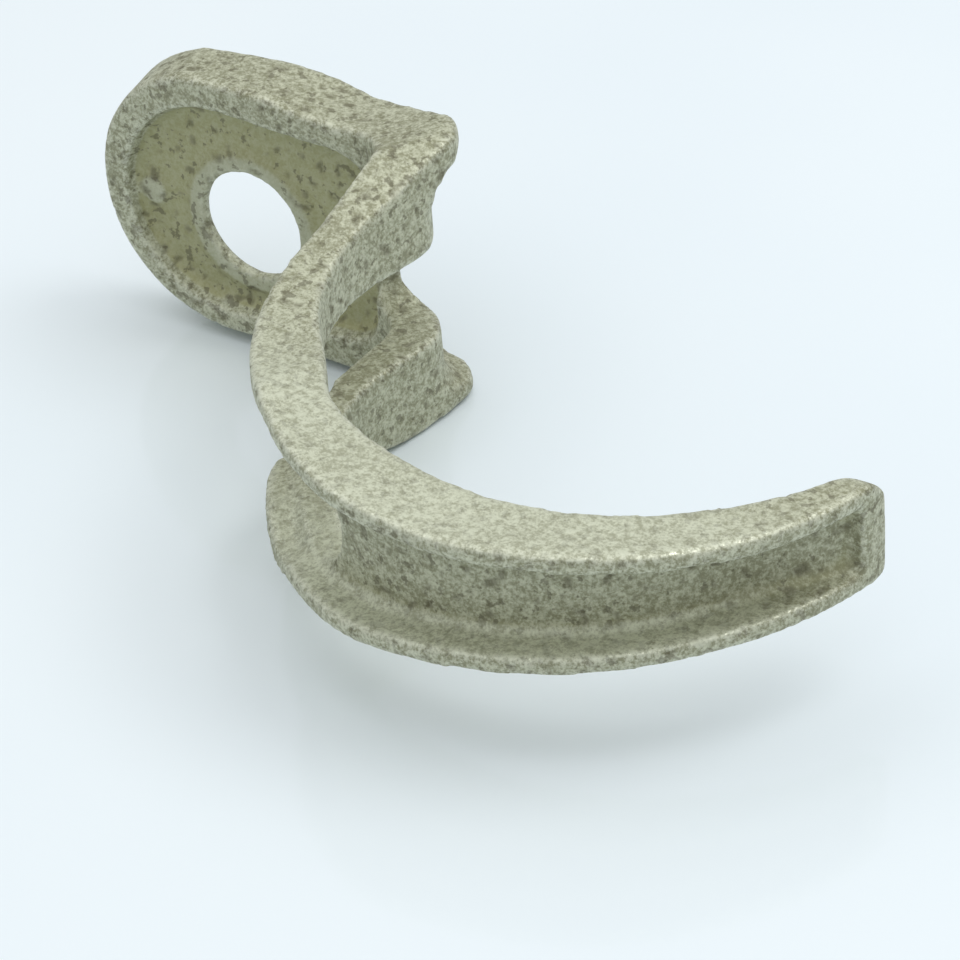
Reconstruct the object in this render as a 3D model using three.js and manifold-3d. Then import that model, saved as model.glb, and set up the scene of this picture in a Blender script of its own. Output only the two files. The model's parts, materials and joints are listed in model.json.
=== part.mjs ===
// Gooseneck door hinge arm: one bare casting with a round eye at one end, a hairpin bend
// with a window through its wall, and a C-shaped hook whose channel section tapers to its tip.
//
// Millimetres, +Z up. The bore of the eye runs along Y and the arm curves in the XY plane.
// The casting is nearly the same above and below its middle plane: the bore sits a little
// below it, and the lower flange is drawn in a little at the bends.

import * as THREE from 'three';
import { mergeVertices } from 'three/addons/utils/BufferGeometryUtils.js';
import Module from 'manifold-3d';

const wasm = await Module();
wasm.setup();

// ---------- Driving dimensions ----------

// The bore's axis crosses the middle of the design frame at X = 0, and Y = 0 is its seat's face.
const BORE_RADIUS = 6.5;
const BORE_CHAMFER = 0.6;         // round the bore's far edge
const BORE_DROP = 1.5;            // how far the bore sits below the eye's middle height
const SEAT_WIDTH = 2.2;           // the low raised seat round the bore
const SEAT_HEIGHT = 0.6;

const EYE_RADIUS = 16.3;
const EYE_CENTRE_Z = 0.6;         // how far the eye's outline sits above the middle plane
const EYE_LEAN = 0.2;             // how far the round end leans left for each mm towards the back
const EYE_CENTRE_X = -3.2;        // the eye's outline is centred to one side of the bore
const RIM_WIDTH = 3.4;            // rim of the eye, across
const RIM_FRONT_Y = -1.4;         // front face of the rim
const EYE_BACK_Y = 7.9;           // back edge of the rim, at the straight part of the eye
const EYE_END_BACK_Y = 5.6;       // and at its round end
const CORNER_BACK_Y = 6.3;        // back edge of the flanges at the hairpin
const WEB_THICKNESS = 1.3;        // thin wall inside the eye
const EYE_POCKET_END_X = 17.5;    // where the eye's front recess closes
const EYE_POCKET_END_HEIGHT = EYE_RADIUS - 6.5;

const ARM_LEFT_X = 21.9;          // straight stretch of the arm, seen from above
const CORNER_RIGHT_X = 28.2;
const WALL_OUTER_X = 27.5;        // outer face of the hairpin's wall
const CORNER_RADIUS = 5.0;        // outer corner of the hairpin's flanges
const BEND_RADIUS = 7.5;          // outer bend of the hairpin's wall
const CROTCH_RADIUS = 5.5;        // fillet where the arm leaves the eye
const LOWER_CORNER_INSET = 0.3;   // the lower flange's corner is drawn in this much

const HOOK_RADIUS = 36.4;         // outer edge of the hook's flanges
const HOOK_CENTRE = [ARM_LEFT_X + HOOK_RADIUS - 2.2, -17.1];
const HOOK_WIDTH = 9.3;           // from the outer to the inner edge, where it is widest
const HOOK_RECESS = 4.6;          // how deep the hook's channel is
const TIP_RECESS = 1.9;           // and how deep at the tip
const TIP_ANGLE = -11.3;          // degrees, where the hook's outer edge ends
const TIP_LIP = 1.4;              // wall that closes the channel at the tip

const CORNER_TOP = EYE_RADIUS + 0.3;      // how far the hairpin's flanges reach above and below
const CORNER_BOTTOM = EYE_RADIUS + 0.8;
const TOP_SAG = 0.9;              // how far the eye's top edge dips before the corner
const UNDERSIDE_SAG = 0.2;        // and its underside, which is straighter
const HOOK_HALF_HEIGHT = 9.9;     // where the hook begins
const TIP_HALF_HEIGHT = 5.6;
const TIP_TOP_ROUNDING = 4.7;     // the hook's end is rounded over above and below
const TIP_BOTTOM_ROUNDING = 2.2;
const HOOK_FLANGE = 2.1;          // thickness of the hook's flanges at their edges
const SWEEP_FLANGE = 2.9;         // thicker where they sweep down to the hook
const CORNER_FLANGE = 3.0;        // thickness of the flanges round the hairpin
const UPPER_FILLET = 6.5;         // between those flanges and the wall
const LOWER_FILLET = 2.0;

const WINDOW_TOP = 4.3;           // window through the hairpin's wall
const WINDOW_BOTTOM = -6.4;
const WINDOW_CHAMFER = 2;         // at its end near the eye
const WINDOW_START = 12.6;        // along the diagonal that the window is cut across
const WINDOW_REACH = 12.2;        // how far it ends past the hook's centre
const WINDOW_END = (HOOK_CENTRE[0] - HOOK_CENTRE[1]) / Math.SQRT2 + WINDOW_REACH;

const FAR = 200;                  // longer than the whole part, for cutting prisms
const ARC_STEPS = 20;

// ---------- Outlines and prisms ----------

const rad = THREE.MathUtils.degToRad;

// A closed outline from a list of points and of arcs given as arrays of points.
function outline(...points) {
  return new THREE.Shape(points.flat().map(([x, y]) => new THREE.Vector2(x, y)));
}

function arc(centre, radius, from, to, steps = ARC_STEPS) {
  const points = [];
  for (let i = 0; i <= steps; i += 1) {
    const angle = rad(from + ((to - from) * i) / steps);
    points.push([centre[0] + radius * Math.cos(angle), centre[1] + radius * Math.sin(angle)]);
  }
  return points;
}

function smooth(points, steps) {
  const curve = new THREE.SplineCurve(points.map(([x, y]) => new THREE.Vector2(x, y)));
  return curve.getPoints(steps).map((point) => [point.x, point.y]);
}

function toSolid(geometry) {
  geometry.deleteAttribute('normal');
  geometry.deleteAttribute('uv');
  const merged = mergeVertices(geometry, 1e-5);
  const vertProperties = new Float32Array(merged.attributes.position.array);
  const triVerts = new Uint32Array(merged.index.array);
  return new wasm.Manifold(new wasm.Mesh({ numProp: 3, vertProperties, triVerts }));
}

// The outline lies in XY and is extruded along Z, over the part's whole height.
function planPrism(shape, fromZ = -FAR / 2, toZ = FAR / 2) {
  const geometry = new THREE.ExtrudeGeometry(shape, { depth: toZ - fromZ, bevelEnabled: false });
  geometry.translate(0, 0, fromZ);
  return toSolid(geometry);
}

// The outline lies in XZ and is extruded from one Y to another.
function sidePrism(shape, fromY, toY) {
  const geometry = new THREE.ExtrudeGeometry(shape, { depth: toY - fromY, bevelEnabled: false });
  geometry.rotateX(Math.PI / 2);
  geometry.translate(0, toY, 0);
  return toSolid(geometry);
}

// The outline lies in YZ and is extruded from one X to another.
function endPrism(shape, fromX, toX) {
  const geometry = new THREE.ExtrudeGeometry(shape, { depth: toX - fromX, bevelEnabled: false });
  geometry.rotateX(Math.PI / 2);
  geometry.rotateZ(Math.PI / 2);
  geometry.translate(fromX, 0, 0);
  return toSolid(geometry);
}

// The outline lies in a vertical plane along the diagonal of +X and -Y. Its first coordinate
// is the distance along that diagonal, its second is the height, and it is cut straight across.
function diagonalPrism(shape) {
  const geometry = new THREE.ExtrudeGeometry(shape, { depth: FAR, bevelEnabled: false });
  geometry.translate(0, 0, -FAR / 2);
  geometry.rotateX(Math.PI / 2);
  geometry.rotateZ(-Math.PI / 4);
  return toSolid(geometry);
}

// ---------- Plan of the flanges ----------

// A point on the hook by its angle and by how far inside the outer edge it lies.
function onHook(angle, inward) {
  const along = rad(angle);
  const radius = HOOK_RADIUS - inward;
  return [HOOK_CENTRE[0] + radius * Math.cos(along), HOOK_CENTRE[1] + radius * Math.sin(along)];
}

const TIP_START = onHook(TIP_ANGLE, 0);
const TIP_END_Y = TIP_START[1] + 3.3;

// Inner edge, from the corner to the tip. The arm is narrowest just after the corner, and the
// hook narrows towards its tip.
const INNER_EDGE = [
  [CORNER_RIGHT_X - 1.2, -8.6],
  [CORNER_RIGHT_X - 2.0, -14.0],
  [CORNER_RIGHT_X - 1.6, -19.5],
  [CORNER_RIGHT_X + 0.6, -26.2],
  onHook(-144, HOOK_WIDTH),
  onHook(-125, HOOK_WIDTH - 0.8),
  onHook(-103, HOOK_WIDTH - 0.1),
  onHook(-79, HOOK_WIDTH - 0.5),
  onHook(-57, HOOK_WIDTH - 1.6),
  onHook(-38, HOOK_WIDTH - 2.7),
  onHook(-19.5, HOOK_WIDTH - 4.7),
  onHook(-10, HOOK_WIDTH - 5.8),
];

// Outer edge, from the hook's round part back up to the straight arm.
const ROUND_PART_START = -106;
const OUTER_EDGE = [
  onHook(-118, 0.8),
  onHook(-131, 1.4),
  onHook(-142.5, 1.5),
  [ARM_LEFT_X + 3.1, -32.8],
  [ARM_LEFT_X + 1.0, -27.0],
  [ARM_LEFT_X + 0.1, -20.5],
  [ARM_LEFT_X, -13.5],
];

const CORNER_CENTRE = [CORNER_RIGHT_X - CORNER_RADIUS, CORNER_BACK_Y - CORNER_RADIUS - 1.0];

function flangePlan() {
  const crotchCentre = [ARM_LEFT_X - CROTCH_RADIUS, RIM_FRONT_Y - CROTCH_RADIUS];
  const hook = arc(HOOK_CENTRE, HOOK_RADIUS, TIP_ANGLE, ROUND_PART_START, 32);
  return outline(
    [[EYE_CENTRE_X - EYE_RADIUS - 4, EYE_END_BACK_Y]],
    smooth([[EYE_CENTRE_X - 6, EYE_END_BACK_Y + 0.5], [2, EYE_BACK_Y - 0.5], [9, EYE_BACK_Y]], 8),
    arc(CORNER_CENTRE, CORNER_RADIUS, 78, -12, 9),
    smooth(INNER_EDGE, 36),
    [[TIP_START[0] - 1.4, TIP_END_Y]],
    [[TIP_START[0] + 0.1, TIP_END_Y - 0.6]],
    hook,
    smooth([hook[hook.length - 1], ...OUTER_EDGE], 18).slice(1),
    arc(crotchCentre, CROTCH_RADIUS, 0, 90, 8),
    [[EYE_CENTRE_X - EYE_RADIUS - 4, RIM_FRONT_Y]],
  );
}

// What is cut off the lower flange's corner, which is drawn in.
function lowerCornerTrim() {
  const centre = [CORNER_CENTRE[0] - LOWER_CORNER_INSET, CORNER_CENTRE[1] - LOWER_CORNER_INSET];
  const beyond = [CORNER_RIGHT_X + 5, EYE_BACK_Y + 5];
  return outline(
    arc(centre, CORNER_RADIUS, 100, -24, 10),
    [[beyond[0], centre[1] - 3]],
    [beyond],
    [[centre[0] - 1, beyond[1]]],
  );
}

// ---------- Height of the part ----------

// An upper outline and its mirror image, which may differ: a list for each.
function closed(upper, lower) {
  return outline(upper, lower.map(([x, z]) => [x, -z]).reverse());
}

// Heights of the hook above and below the middle plane. The first number is the distance in X
// from the hook's centre, as a share of its radius.
const HOOK_TOP = [
  [-0.49, HOOK_HALF_HEIGHT - 0.1],
  [-0.22, HOOK_HALF_HEIGHT - 1.1],
  [0.08, HOOK_HALF_HEIGHT - 2.3],
  [0.44, TIP_HALF_HEIGHT + 1.4],
  [0.8, TIP_HALF_HEIGHT + 0.6],
  [1, TIP_HALF_HEIGHT + 0.4],
];
const HOOK_UNDERSIDE = [
  [-0.49, HOOK_HALF_HEIGHT - 0.9],
  [-0.22, HOOK_HALF_HEIGHT - 1.3],
  [0.08, HOOK_HALF_HEIGHT - 2.2],
  [0.44, TIP_HALF_HEIGHT + 1.3],
  [0.8, TIP_HALF_HEIGHT + 0.3],
  [1, TIP_HALF_HEIGHT + 0.1],
];

// Seen from the front: the eye's nearly straight top, the hairpin, and the hook's long taper.
// Inset draws the same outline inside the flanges.
function frontProfile(inset) {
  const edge = (side, sag, cornerHeight, hook) => [
    [-FAR / 2, EYE_RADIUS + EYE_CENTRE_Z * side - inset],
    [EYE_CENTRE_X, EYE_RADIUS + EYE_CENTRE_Z * side - inset],
    ...smooth([
      [4, EYE_RADIUS - sag / 2 + EYE_CENTRE_Z * side - inset],
      [14, EYE_RADIUS + 0.3 - sag * 1.6 - inset],
      [CORNER_RIGHT_X - 2, cornerHeight - inset],
    ], 8),
    [CORNER_RIGHT_X + 1, cornerHeight - 0.8 - inset],
    [CORNER_RIGHT_X + 5, HOOK_HALF_HEIGHT + 0.6 - inset],
    ...smooth(hook.map(([x, height]) => [HOOK_CENTRE[0] + HOOK_RADIUS * x, height - inset]), 18),
  ];
  const top = edge(1, TOP_SAG, CORNER_TOP, HOOK_TOP);
  const underside = edge(-1, UNDERSIDE_SAG, CORNER_BOTTOM, HOOK_UNDERSIDE);
  return closed(top, underside);
}

// Along the diagonal: full height round the hairpin, then a hollow sweep down to the hook.
// In each list the first number is the distance from where the top starts down, and the
// second is the share of the drop that is still to come. The underside starts down later.
const SWEEP_START = 18.5;
const SWEEP_TOP = [[0, 1], [3.5, 0.79], [7.6, 0.51], [12, 0.31], [19.5, 0.1], [28.5, 0.03], [37.5, 0.18]];
const SWEEP_UNDER = [[3, 1], [7, 0.97], [11.5, 0.78], [16, 0.42], [21.5, 0.07], [29.5, 0], [37.5, 0.17]];

function sweepProfile(inset) {
  const sweep = (shares, cornerHeight) => {
    const drop = cornerHeight - HOOK_HALF_HEIGHT;
    const points = shares.map(([on, share]) => [SWEEP_START + on, HOOK_HALF_HEIGHT + share * drop - inset]);
    return [[-FAR / 2, points[0][1]], ...smooth(points, 16), [FAR / 2, HOOK_HALF_HEIGHT + 3 - inset]];
  };
  return closed(sweep(SWEEP_TOP, CORNER_TOP), sweep(SWEEP_UNDER, CORNER_BOTTOM));
}

// What is cut off the hook's end to round it over, above (side 1) or below (side -1).
function tipTrim(side, radius) {
  const top = TIP_HALF_HEIGHT + 0.6;
  const round = arc([TIP_END_Y - radius, top - radius], radius, 100, -4, 8);
  const beyond = [TIP_END_Y + 5, top + 5];
  const points = [...round, [beyond[0], top - radius], beyond, [TIP_END_Y - radius - 1, beyond[1]]];
  const outlined = points.map(([y, z]) => [y, z * side]);
  return endPrism(outline(side > 0 ? outlined : outlined.reverse()), HOOK_CENTRE[0] + 20, FAR);
}

function withinHeights(plan, inset, sweepInset) {
  return plan
    .intersect(sidePrism(frontProfile(inset), -FAR / 2, FAR / 2))
    .intersect(diagonalPrism(sweepProfile(sweepInset)));
}

// ---------- Recesses ----------

// The channel along the outside of the hook. It starts where the wall crosses to the inner side.
function hookChannelPlan() {
  const tipAngle = TIP_ANGLE - THREE.MathUtils.radToDeg(TIP_LIP / HOOK_RADIUS);
  return outline(
    arc(HOOK_CENTRE, HOOK_RADIUS + 12, -186, tipAngle, 30),
    smooth([onHook(tipAngle, TIP_RECESS), onHook(-21, 3.2), onHook(-32, HOOK_RECESS)], 8),
    arc(HOOK_CENTRE, HOOK_RADIUS - HOOK_RECESS, -36, -132, 36),
    [[ARM_LEFT_X + 5.3, -31.0]],
    [[ARM_LEFT_X + 2.5, -23.5]],
    [[ARM_LEFT_X, -15.5]],
  );
}

// The channel behind the eye, which goes on round the outside of the hairpin. Outset makes it
// shallower all along.
function backChannelPlan(outset) {
  const webY = SEAT_HEIGHT + WEB_THICKNESS + outset;
  const wallX = WALL_OUTER_X + outset;
  return outline(
    [[EYE_CENTRE_X - EYE_RADIUS, EYE_BACK_Y + 4]],
    [[EYE_CENTRE_X - EYE_RADIUS, webY]],
    arc([wallX - BEND_RADIUS, webY - BEND_RADIUS], BEND_RADIUS, 90, 0, 10),
    [[wallX, -8]],
    [[wallX + 0.6, -12]],
    [[CORNER_RIGHT_X + 12, -12]],
    [[CORNER_RIGHT_X + 12, EYE_BACK_Y + 4]],
  );
}

// How far a fillet of this radius reaches down from the flange, this far out from the wall.
function filletDrop(radius, outset) {
  return outset < radius ? radius - Math.sqrt(radius ** 2 - (radius - outset) ** 2) : 0;
}

// That channel, with fillets where its wall meets the flanges: each step is a little shallower
// and a little taller than the last.
function backChannel() {
  const halfHeight = CORNER_TOP - CORNER_FLANGE;
  let channel = null;
  for (const share of [0, 0.06, 0.17, 0.34, 0.6]) {
    const outset = UPPER_FILLET * share;
    const upper = filletDrop(UPPER_FILLET, outset);
    const lower = filletDrop(LOWER_FILLET, outset);
    const recess = eyeRecessOutline(CORNER_RIGHT_X + 12, halfHeight, lower, upper, lower);
    const step = planPrism(backChannelPlan(outset)).intersect(sidePrism(recess, -FAR / 2, FAR / 2));
    channel = channel ? channel.add(step) : step;
  }
  return channel;
}

// Outline of the eye's recesses in XZ: round at the eye, drawn in towards the hairpin. The
// insets are for fillets: one at the eye, and one above and one below at the hairpin.
function eyeRecessOutline(endX, endHeight, eyeInset = 0, upperInset = 0, lowerInset = 0) {
  const edge = (inset) => [
    ...arc([EYE_CENTRE_X, 0], EYE_RADIUS - RIM_WIDTH - eyeInset, 180, 84, 24),
    [endX - 3.5, endHeight + 2.0 - inset],
    [endX - 1.0, endHeight + 1.0 - inset],
    [endX, endHeight - 1.4 - inset],
  ];
  return closed(edge(upperInset), edge(lowerInset));
}

// The window, cut along the diagonal through the wall: a slot with a round end at the hook.
function windowOutline() {
  const halfHeight = (WINDOW_TOP - WINDOW_BOTTOM) / 2;
  const endCentre = [WINDOW_END - halfHeight, WINDOW_BOTTOM + halfHeight];
  return outline(
    [[WINDOW_START, WINDOW_BOTTOM + WINDOW_CHAMFER]],
    [[WINDOW_START + WINDOW_CHAMFER, WINDOW_BOTTOM]],
    arc(endCentre, halfHeight, -90, 90, 14),
    [[WINDOW_START + WINDOW_CHAMFER, WINDOW_TOP]],
    [[WINDOW_START, WINDOW_TOP - WINDOW_CHAMFER]],
  );
}

function disc(radius, fromY, toY, centreX, centreZ, segments) {
  const geometry = new THREE.CylinderGeometry(radius, radius, toY - fromY, segments);
  geometry.translate(centreX, (fromY + toY) / 2, centreZ);
  return toSolid(geometry);
}

// A cone on the bore's axis that opens backwards, centred on a Y.
function cone(frontRadius, backRadius, centreY, length) {
  const geometry = new THREE.CylinderGeometry(backRadius, frontRadius, length, 64);
  geometry.translate(0, centreY, -BORE_DROP);
  return toSolid(geometry);
}

// Everything right of the eye's centre, and the eye's round end, which leans to the left.
function eyeEnd() {
  const round = new THREE.CylinderGeometry(EYE_RADIUS, EYE_RADIUS, FAR, 72);
  const lean = new THREE.Matrix4().makeShear(0, 0, -EYE_LEAN, 0, 0, 0);
  round.applyMatrix4(lean);
  round.translate(EYE_CENTRE_X + EYE_LEAN * RIM_FRONT_Y, 0, EYE_CENTRE_Z);
  const rest = new THREE.BoxGeometry(FAR, FAR, FAR);
  rest.translate(EYE_CENTRE_X + FAR / 2, 0, 0);
  return toSolid(round).add(toSolid(rest));
}

// ---------- The casting ----------

function hingeArm() {
  const backFaceY = SEAT_HEIGHT + WEB_THICKNESS;
  const frontRecess = sidePrism(
    eyeRecessOutline(EYE_POCKET_END_X, EYE_POCKET_END_HEIGHT),
    RIM_FRONT_Y - 4,
    SEAT_HEIGHT,
  );
  const hookChannel = withinHeights(planPrism(hookChannelPlan()), HOOK_FLANGE, SWEEP_FLANGE);
  const wallWindow = diagonalPrism(windowOutline());
  const seat = disc(BORE_RADIUS + SEAT_WIDTH, 0, backFaceY - 0.2, 0, -BORE_DROP, 48);
  const bore = disc(BORE_RADIUS, -20, 20, 0, -BORE_DROP, 64);
  const chamfer = cone(BORE_RADIUS, BORE_RADIUS + 2 * BORE_CHAMFER, backFaceY, 2 * BORE_CHAMFER);
  return withinHeights(planPrism(flangePlan()), 0, 0)
    .intersect(eyeEnd())
    .subtract(planPrism(lowerCornerTrim(), -FAR / 2, WINDOW_BOTTOM))
    .subtract(tipTrim(1, TIP_TOP_ROUNDING))
    .subtract(tipTrim(-1, TIP_BOTTOM_ROUNDING))
    .subtract(frontRecess)
    .subtract(backChannel())
    .subtract(hookChannel)
    .subtract(wallWindow)
    .add(seat)
    .subtract(bore)
    .subtract(chamfer);
}

function toGeometry(solid) {
  const { vertProperties, triVerts } = solid.getMesh();
  const geometry = new THREE.BufferGeometry();
  geometry.setAttribute('position', new THREE.BufferAttribute(vertProperties, 3));
  geometry.setIndex(new THREE.BufferAttribute(triVerts, 1));
  geometry.computeVertexNormals();
  return geometry;
}

const castIron = new THREE.MeshStandardMaterial({
  color: new THREE.Color().setRGB(0.62, 0.65, 0.56, THREE.SRGBColorSpace),
  roughness: 0.6,
  metalness: 0.7,
});

const arm = new THREE.Mesh(toGeometry(hingeArm()), castIron);
arm.name = 'hinge_arm';

// The origin is under the middle of the part, on the surface that it lies on.
arm.geometry.computeBoundingBox();
const box = arm.geometry.boundingBox;
arm.position.set(-(box.min.x + box.max.x) / 2, -(box.min.y + box.max.y) / 2, -box.min.z);

const part = new THREE.Group();
part.add(arm);

export default part;
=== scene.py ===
# %% [markdown]
# # A cast gooseneck hinge arm
#
# The real object is one bare metal casting: a round eye with a bore for the hinge pin, a
# hairpin bend with a window through its wall, and a long hook of channel section. It has no
# other pieces. The frame brings the exact shape, with crisp edges, as one body called root.
# This lesson gives it the skin of a sand casting: soft edges and fillets, a pitted surface
# and bare mottled metal. Then it sets it on a pale glossy table.

# %% Load the frame
import json
import math

import bmesh
import bpy
from mathutils import Matrix, Vector, noise


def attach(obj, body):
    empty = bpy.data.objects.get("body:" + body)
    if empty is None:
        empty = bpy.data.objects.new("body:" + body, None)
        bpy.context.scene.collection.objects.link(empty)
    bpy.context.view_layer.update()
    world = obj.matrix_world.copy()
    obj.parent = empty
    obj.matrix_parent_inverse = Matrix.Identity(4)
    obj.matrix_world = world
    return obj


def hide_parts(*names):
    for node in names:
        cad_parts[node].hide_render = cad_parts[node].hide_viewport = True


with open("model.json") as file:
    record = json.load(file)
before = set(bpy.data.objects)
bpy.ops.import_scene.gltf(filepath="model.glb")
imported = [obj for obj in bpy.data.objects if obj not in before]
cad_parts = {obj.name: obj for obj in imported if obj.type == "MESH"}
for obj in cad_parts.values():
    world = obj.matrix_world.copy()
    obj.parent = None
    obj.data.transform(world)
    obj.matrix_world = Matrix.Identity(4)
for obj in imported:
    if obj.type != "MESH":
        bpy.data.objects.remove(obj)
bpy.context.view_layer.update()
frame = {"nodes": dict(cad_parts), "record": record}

MM = 0.001

# %% [markdown]
# ## Where things are
#
# Places on the part come from the frame's record. The seat's mounting point lies beside the
# bore, on the flat ring round it, so the bore's centre is found from it. All other places are
# measured from there, in millimetres: right along the arm, back along the bore, and up.

# %% Places on the part
mounts = {mount["name"]: Vector(mount["pos_m"]) for mount in frame["record"]["mounts"]}
SEAT_POINT_TO_BORE = 7.6
bore = mounts["bore_seat"] + Vector((SEAT_POINT_TO_BORE * MM, 0, 0))


def from_bore(right, back, up):
    """A place measured in millimetres from the middle of the bore's front edge."""
    return bore + Vector((right, back, up)) * MM


print("bore centre, mm:", [round(v / MM, 2) for v in bore])

# %% [markdown]
# ## The camera
#
# A long lens from the right and well above shows the open side of the hook and the face of
# the eye together. The camera is placed by its direction from the point it looks at, which is
# simpler to read and to change than a matrix. A small roll tips the picture, because a real
# part with a curved underside leans a little on the table.

# %% Camera
LENS = 146.25                      # mm, on a 36 mm sensor
AIM = from_bore(51.3, -32.0, 0.4)
DISTANCE = 0.3929
AZIMUTH, ELEVATION, ROLL = (math.radians(angle) for angle in (35.09, 33.68, -4.38))

towards_camera = Vector((
    math.sin(AZIMUTH) * math.cos(ELEVATION),
    -math.cos(AZIMUTH) * math.cos(ELEVATION),
    math.sin(ELEVATION),
))
camera = bpy.data.objects.new("camera", bpy.data.cameras.new("camera"))
camera.data.lens = LENS
camera.data.sensor_width = 36
camera.data.clip_start = 0.01
level = towards_camera.to_track_quat("Z", "Y").to_matrix().to_4x4()
camera.matrix_world = (
    Matrix.Translation(AIM + towards_camera * DISTANCE) @ level @ Matrix.Rotation(ROLL, 4, "Z")
)
bpy.context.scene.collection.objects.link(camera)
bpy.context.scene.camera = camera
print("camera at, mm:", [round(v / MM, 1) for v in camera.matrix_world.translation])

# %% [markdown]
# ## The casting's skin: soft edges
#
# Molten metal can't fill a sharp corner of sand, so every edge of a casting is rounded and
# every inside corner has a fillet. Bevelling hundreds of edges that curve and cross would
# break where they meet. A voxel remesh turns the crisp solid into an even skin of small quads
# instead, and a few rounds of smoothing then round every edge by the same amount, as the sand
# does. The copy of the frame's mesh is welded first, because it comes as loose triangles.

# %% Remesh a copy of the frame's casting
VOXEL = 0.38 * MM


def welded_copy(node):
    """The node's mesh as a new bmesh, its doubled corners merged."""
    shape = bmesh.new()
    shape.from_mesh(frame["nodes"][node].data)
    bmesh.ops.remove_doubles(shape, verts=shape.verts, dist=0.001 * MM)
    return shape


def voxel_skin(shape, voxel):
    """A new bmesh: the closed shape remade as an even skin of quads."""
    mesh = bpy.data.meshes.new("rough")
    shape.to_mesh(mesh)
    rough = bpy.data.objects.new("rough", mesh)
    bpy.context.scene.collection.objects.link(rough)
    remesh = rough.modifiers.new("remesh", "REMESH")
    remesh.mode = "VOXEL"
    remesh.voxel_size = voxel
    evaluated = rough.evaluated_get(bpy.context.evaluated_depsgraph_get())
    skin = bmesh.new()
    skin.from_mesh(evaluated.to_mesh())
    evaluated.to_mesh_clear()
    bpy.data.objects.remove(rough)
    return skin


casting = welded_copy("hinge_arm")
print("welded:", len(casting.verts), "corners")

# %% [markdown]
# ## Small cast marks
#
# The flat of the eye carries a few low raised marks, left by the pattern that shaped the mould.
# Here they are three plain round dots. Each is a short squat cylinder sunk into the web, so
# the remesh joins it to the casting and softens it.

# %% Raised marks on the eye's web
WEB_FRONT = 0.6                    # mm behind the seat's face
MARK_HEIGHT = 0.7
MARKS = [(-13.4, -6.6, 0.8), (-4.2, -11.6, 1.3), (-13.6, 1.2, 1.8)]   # right, up and radius, mm


def raised_dot(shape, right, up, radius):
    """A low disc standing forward from the web."""
    depth = MARK_HEIGHT + 0.4
    place = Matrix.Translation(from_bore(right, WEB_FRONT - MARK_HEIGHT + depth / 2, up))
    bmesh.ops.create_cone(
        shape, cap_ends=True, segments=32, radius1=radius * MM, radius2=radius * MM,
        depth=depth * MM, matrix=place @ Matrix.Rotation(math.pi / 2, 4, "X"),
    )


marks = bmesh.new()
for right, up, radius in MARKS:
    raised_dot(marks, right, up, radius)
print("marks:", len(marks.faces), "faces")

# %% Join the marks and make the skin
extra = bpy.data.meshes.new("marks")
marks.to_mesh(extra)
casting.from_mesh(extra)
skin = voxel_skin(casting, VOXEL)
print("skin:", len(skin.verts), "corners,", len(skin.faces), "quads")

# %% [markdown]
# Smoothing a little everywhere rounds the edges. Then only the corners that sink are smoothed
# on: where smoothing moved the skin outwards, it filled a hollow, so those places belong to
# fillets. More rounds there give wide fillets without wearing the outer edges away.

# %% Round the edges and fill the fillets
EDGE_ROUNDS = 6
FILLET_ROUNDS = 26


def smooth(shape, corners, rounds):
    """Move these corners halfway towards their neighbours' middle, this many times."""
    for _ in range(rounds):
        bmesh.ops.smooth_vert(
            shape, verts=corners, factor=0.5, use_axis_x=True, use_axis_y=True, use_axis_z=True,
        )


def rise(shape, before):
    """How far each corner has moved outwards since its place was noted, in mm."""
    shape.normal_update()
    return [(v.co - place).dot(v.normal) / MM for v, place in zip(shape.verts, before)]


before = [v.co.copy() for v in skin.verts]
smooth(skin, skin.verts, EDGE_ROUNDS)
filled = [v for v, up in zip(skin.verts, rise(skin, before)) if up > 0.035]
smooth(skin, filled, FILLET_ROUNDS)
smooth(skin, skin.verts, 2)
print("fillet corners:", len(filled))

# %% [markdown]
# ## Where the skin is hollow, and where it is proud
#
# Oxide gathers in hollows, and the olive that the material gives them is partly painted shade. Handling
# polishes what stands proud. Both can be read from the shape: a far smoother copy of the skin passes
# above the hollows and below the edges.
# The distance to it is kept on each corner, as an attribute that the material can read. A
# small amount of smoothing finds edges, and a large amount finds whole recesses.

# %% Measure hollows and edges
def soft_step(value, low, high):
    """0 below low, 1 above high, and a smooth rise between."""
    t = min(max((value - low) / (high - low), 0.0), 1.0)
    return t * t * (3 - 2 * t)


def keep(shape, name, values):
    layer = shape.verts.layers.float.new(name)
    for v, value in zip(shape.verts, values):
        v[layer] = value


def compared_with_smoother(shape, rounds):
    """Mm from each corner out to a smoother copy: above 0 in hollows, below 0 on edges."""
    smoother = shape.copy()
    smooth(smoother, smoother.verts, rounds)
    shape.normal_update()
    gaps = [(far.co - v.co).dot(v.normal) / MM for far, v in zip(smoother.verts, shape.verts)]
    smoother.free()
    return gaps


near = compared_with_smoother(skin, 12)
far = compared_with_smoother(skin, 90)
edges = [soft_step(-gap, 0.03, 0.16) for gap in near]
hollows = [soft_step(gap, -0.05, 0.9) for gap in far]
print("edge corners:", sum(e > 0.5 for e in edges), "hollow corners:", sum(h > 0.5 for h in hollows))
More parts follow.
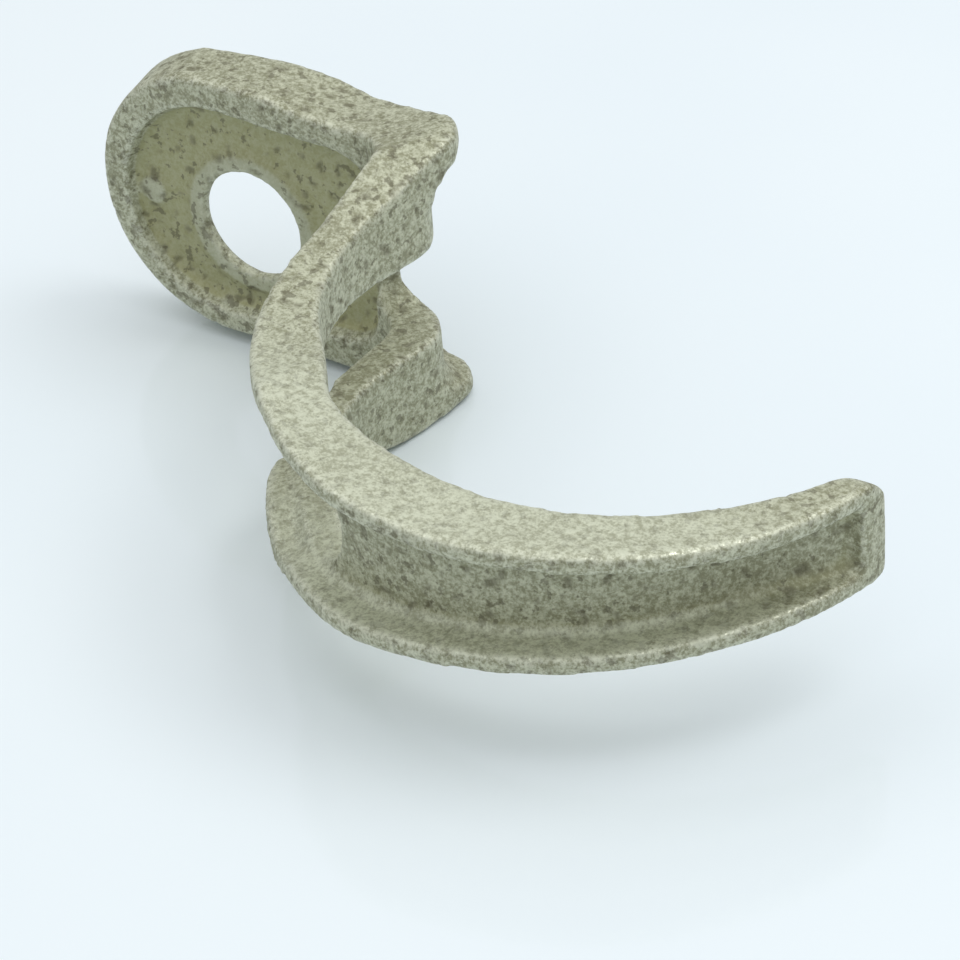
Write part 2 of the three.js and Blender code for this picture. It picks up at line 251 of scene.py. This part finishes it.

# %% [markdown]
# ## The cast surface
#
# Sand leaves a skin that swells gently, with pits about a millimetre across. Where a core or a
# tool has broken the skin, as on the window's walls, it is coarse and granular. These are
# shapes, so they are made by moving corners along their normals, with noise measured in
# millimetres. The depth of each pit is kept too, because pits hold dark oxide.
#
# The finish also changes from place to place. The eye's web is olive, partly from oxide and partly
# from painted shade. The seat and the marks on it are paler. The upper faces of the hook carry a painted
# highlight: they are paler where the light from above falls. Each of these places gets its own
# attribute, from where a corner lies and which way it faces.

# %% Swells, pits and granular patches
SWELL, PIT, GRIT = 0.07, 0.09, 0.11            # mm, how far each moves the skin
GRANULAR_PLACES = [                            # middle of each patch, and its reach in mm
    (from_bore(30.5, -38.5, 0.0), 8.0),
    (from_bore(40.0, -46.0, -1.0), 6.0),
    (from_bore(24.5, -16.0, -4.5), 9.0),
    (from_bore(33.0, -41.0, -7.0), 9.0),
]


def granular(place):
    """1 in the middle of a granular patch, falling to 0 at its reach."""
    return max(soft_step(-(place - centre).length / MM, -reach, -reach * 0.45)
               for centre, reach in GRANULAR_PLACES)


def surface_move(place):
    """How far the cast surface stands out at a place, in mm, with its pit and its grit."""
    p = place / MM
    swell = noise.fractal(p * 0.16, 1.0, 2.0, 2)
    pit = soft_step(noise.noise(p * 0.85 + Vector((31, 7, 3))), 0.28, 0.60)
    grit = noise.fractal(p * 1.5, 0.8, 2.0, 2) * granular(place)
    return SWELL * swell - PIT * pit + GRIT * grit, pit, granular(place)


def web(place, normal):
    """1 on the front of the eye's web, inside the rim, but not on the seat or the marks."""
    right, back, up = (place - bore) / MM
    inside = soft_step(back, -0.6, 0.25) * soft_step(-back, -3.0, -2.0) * soft_step(-right, -18.0, -15.0)
    between = soft_step(-abs(up - 1.5), -13.5, -12.0)
    return inside * between * soft_step(-normal.y, 0.2, 0.7)


def raised(place, normal):
    """1 on the front faces of the seat round the bore and of the marks."""
    right, back, up = (place - bore) / MM
    discs = [(0.0, 0.0, 8.6)] + MARKS
    inside = max(soft_step(r - math.hypot(right - x, up - z), -0.2, 0.5) for x, z, r in discs)
    return inside * soft_step(-abs(back), -1.0, -0.6) * soft_step(-normal.y, 0.2, 0.7)


def painted_light_shelf(place, normal):
    """1 on the faces of the hook's flanges that look up, which are painted paler as a painted highlight.
    """
    back = (place.y - bore.y) / MM
    # Painted highlight: this marks the up-facing faces of the hook, which the material paints paler.
    return soft_step(-back, 26.0, 42.0) * soft_step(normal.z, 0.25, 0.75)


skin.normal_update()
directions = [v.normal.copy() for v in skin.verts]
moves = [surface_move(v.co) for v in skin.verts]
for v, direction, (move, _, _) in zip(skin.verts, directions, moves):
    v.co += direction * move * MM
keep(skin, "web", [web(v.co, n) for v, n in zip(skin.verts, directions)])
keep(skin, "raised", [raised(v.co, n) for v, n in zip(skin.verts, directions)])
keep(skin, "painted_light_shelf", [painted_light_shelf(v.co, n) for v, n in zip(skin.verts, directions)])
keep(skin, "edge", edges)
keep(skin, "hollow", hollows)
keep(skin, "pit", [pit for _, pit, _ in moves])
keep(skin, "granular", [patch for _, _, patch in moves])
print("pitted corners:", sum(pit > 0.5 for _, pit, _ in moves))

# %% Make the casting an object
mesh = bpy.data.meshes.new("hinge_casting")
skin.normal_update()
skin.to_mesh(mesh)
mesh.polygons.foreach_set("use_smooth", [True] * len(mesh.polygons))
hinge_casting = bpy.data.objects.new("hinge_casting", mesh)
bpy.context.scene.collection.objects.link(hinge_casting)
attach(hinge_casting, "root")
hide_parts("hinge_arm")
print("casting:", sum(len(face.vertices) - 2 for face in mesh.polygons), "triangles")

# %% [markdown]
# ## Writing a material as sums
#
# A node tree is easier to read as arithmetic. The class below wraps a node's output, so that
# `1 - mask * 0.5` adds the Math nodes for it. Colours are mixed by one helper, because a Math
# node would turn them grey. Any other node comes from `node`, with its settings first.

# %% Shader arithmetic
class Value:
    """A number from a node's output. Arithmetic on it adds Math nodes."""

    def __init__(self, material, socket):
        self.material, self.socket = material, socket

    def maths(self, operation, *values, clamp=False):
        return self.material.node(
            "ShaderNodeMath", {"operation": operation, "use_clamp": clamp}, dict(enumerate(values)),
        )

    def __add__(self, other):
        return self.maths("ADD", self, other)

    def __sub__(self, other):
        return self.maths("SUBTRACT", self, other)

    def __rsub__(self, other):
        return self.maths("SUBTRACT", other, self)

    def __mul__(self, other):
        return self.maths("MULTIPLY", self, other)

    __radd__, __rmul__ = __add__, __mul__

    def rises(self, low, high):
        """0 where the value is below low, 1 where it is above high."""
        return self.material.node(
            "ShaderNodeMapRange", {"interpolation_type": "SMOOTHSTEP"},
            {"Value": self, "From Min": low, "From Max": high},
        )


class Finish:
    """A material under construction, with the helpers that add its nodes."""

    def __init__(self, name):
        self.made = bpy.data.materials.new(name)
        self.made.use_nodes = True
        self.tree = self.made.node_tree
        self.shader = self.tree.nodes["Principled BSDF"]

    def feed(self, socket, value):
        if isinstance(value, Value):
            self.tree.links.new(value.socket, socket)
        else:
            socket.default_value = value

    def node(self, kind, settings=None, values=None, output=0):
        """A node of this kind, its settings made first, then its sockets, by name or number."""
        made = self.tree.nodes.new(kind)
        for name, setting in (settings or {}).items():
            setattr(made, name, setting)
        for name, value in (values or {}).items():
            self.feed(made.inputs[name], value)
        return Value(self, made.outputs[output])

    def millimetres(self):
        """The surface's place in millimetres, as a vector."""
        place = self.node("ShaderNodeTexCoord", output="Object")
        return self.node(
            "ShaderNodeVectorMath", {"operation": "SCALE"}, {0: place, "Scale": 1 / MM},
        )

    def speckle(self, place, size, detail=2.0, roughness=0.55):
        """Noise with features about this many millimetres across."""
        return self.node("ShaderNodeTexNoise", {"noise_dimensions": "3D"}, {
            "Vector": place, "Scale": 0.5 / size, "Detail": detail,
            "Roughness": roughness,
        })

    def kept(self, name):
        """A value kept on the mesh's corners."""
        return self.node("ShaderNodeAttribute", {"attribute_name": name}, output="Fac")

    def blend(self, share, first, second):
        """One colour going over to another as share goes from 0 to 1."""
        return self.node("ShaderNodeMix", {"data_type": "RGBA", "blend_type": "MIX"}, {
            0: share, 6: first, 7: second,
        }, output=2)

    def surface(self, **sockets):
        for name, value in sockets.items():
            self.feed(self.shader.inputs[name.replace("_", " ")], value)
        return self.made


def colour(red, green, blue):
    """A screen colour from 0 to 255, as the linear colour that shaders use."""
    return tuple(((c / 255 + 0.055) / 1.055) ** 2.4 for c in (red, green, blue)) + (1.0,)


# %% [markdown]
# ## Bare cast metal
#
# Up close the metal isn't one colour. Sand grains leave pale, slightly shiny facets beside dull
# grey-green ones, a fraction of a millimetre across. Oxide makes darker blotches. The hollows and the
# web get an even olive, partly from oxide and partly from painted shade. Rubbed edges are cleaner and
# brighter. The faces of the hook that look up are painted paler, which is a painted highlight.
# Each of these is a mask, and the colour, roughness and shine all come from the same masks, so
# a dark pit is also dull and a bright facet is also smooth.

# %% The casting's material
def bare_cast_metal():
    finish = Finish("bare_cast_metal")
    place = finish.millimetres()
    grain = finish.speckle(place, 0.16, detail=3.0, roughness=0.7)
    facets = finish.speckle(place, 0.4, detail=3.0, roughness=0.65)
    blotches = finish.speckle(place, 0.55, detail=3.0, roughness=0.55)
    broad = finish.speckle(place, 7.0, detail=3.0)
    edge, hollow = finish.kept("edge"), finish.kept("hollow")
    pit, patch = finish.kept("pit"), finish.kept("granular")
    web, painted_light_shelf, raised = finish.kept("web"), finish.kept("painted_light_shelf"), finish.kept("raised")

    pale = (facets * 0.5 + grain * 0.5 + broad * 0.15).rises(0.46, 0.70)
    dark_blotch = (blotches + broad * 0.22).rises(0.69, 0.76)
    # Partly real olive oxide and partly painted shade: hollows and the recessed web are painted olive.
    oxide_and_shade = (hollow * 0.8 + web * 0.8 + broad.rises(0.40, 0.70) * 0.12).rises(0.15, 0.95)

    base = finish.blend(pale, colour(142, 142, 114), colour(199, 201, 176))
    # Olive oxide and painted shade in the hollows and on the web. It is kept off the painted highlight
    # on the tops.
    base = finish.blend(oxide_and_shade * (1 - painted_light_shelf) * 0.8, base, colour(162, 161, 116))
    base = finish.blend(web * pale * 0.35, base, colour(176, 176, 148))
    base = finish.blend(raised * 0.5, base, colour(186, 189, 168))
    base = finish.blend(dark_blotch * 0.6, base, colour(100, 96, 74))
    base = finish.blend(pit * 0.6, base, colour(100, 96, 74))
    # Painted highlight: the hook's faces that look up are painted paler, where the light from above
    # falls.
    base = finish.blend(painted_light_shelf * (0.25 + pale * 0.35), base, colour(218, 222, 200))
    base = finish.blend(edge * pale * 0.5, base, colour(220, 222, 204))

    glint = grain.rises(0.56, 0.66) * (edge * 0.6 + patch * 0.6 + painted_light_shelf * 0.4 + 0.2)
    dull = dark_blotch * 0.12 + pit * 0.15 + oxide_and_shade * 0.08
    bump = finish.node("ShaderNodeBump", None, {
        "Strength": 0.45, "Distance": 0.08 * MM,
        "Height": grain * (0.6 + patch * 1.2) + facets * 0.8 - dark_blotch * 0.4,
    })
    return finish.surface(
        Base_Color=base,
        Metallic=0.3 + glint * 0.5,
        Roughness=0.52 + dull - glint * 0.22,
        Normal=bump,
    )


hinge_casting.data.materials.append(bare_cast_metal())

# %% [markdown]
# ## The table and the light
#
# The part lies on a pale glossy table, which mirrors it softly. A very wide light straight
# above, like a lit ceiling, makes the tops of the flanges brightest. A smaller lamp behind and
# to the right gives the shadow a direction. The world fills the rest with even white.

# %% Table
TABLE_HALF = 1.5


def table_gloss():
    finish = Finish("table_gloss")
    place = finish.millimetres()
    haze = finish.speckle(place, 60.0, detail=2.0)
    return finish.surface(
        Base_Color=finish.blend(haze.rises(0.35, 0.65), colour(236, 245, 250), colour(240, 248, 252)),
        Roughness=0.05 + haze * 0.04,
    )


table = bmesh.new()
bmesh.ops.create_grid(table, x_segments=1, y_segments=1, size=TABLE_HALF)
table_mesh = bpy.data.meshes.new("table")
table.to_mesh(table_mesh)
floor = bpy.data.objects.new("table", table_mesh)
floor.data.materials.append(table_gloss())
bpy.context.scene.collection.objects.link(floor)

# %% Lights
def soft_light(name, place, size, power, target):
    """A round area light of this size and power in watts, aimed at the target."""
    lamp = bpy.data.lights.new(name, "AREA")
    lamp.shape = "DISK"
    lamp.size = size
    lamp.energy = power
    made = bpy.data.objects.new(name, lamp)
    aimed = (target - place).to_track_quat("-Z", "Y").to_matrix().to_4x4()
    made.matrix_world = Matrix.Translation(place) @ aimed
    bpy.context.scene.collection.objects.link(made)


middle = from_bore(36, -23, -10)
soft_light("lamp", middle + Vector((0.26, 0.20, 0.52)), 0.34, 0.6, middle)
soft_light("ceiling", middle + Vector((0.0, 0.0, 0.70)), 1.4, 3.2, middle)

world = bpy.data.worlds.new("studio")
world.use_nodes = True
backdrop = world.node_tree.nodes["Background"]
backdrop.inputs["Color"].default_value = (0.95, 0.98, 1.0, 1.0)
backdrop.inputs["Strength"].default_value = 0.60
bpy.context.scene.world = world
bpy.context.scene.view_settings.view_transform = "Standard"
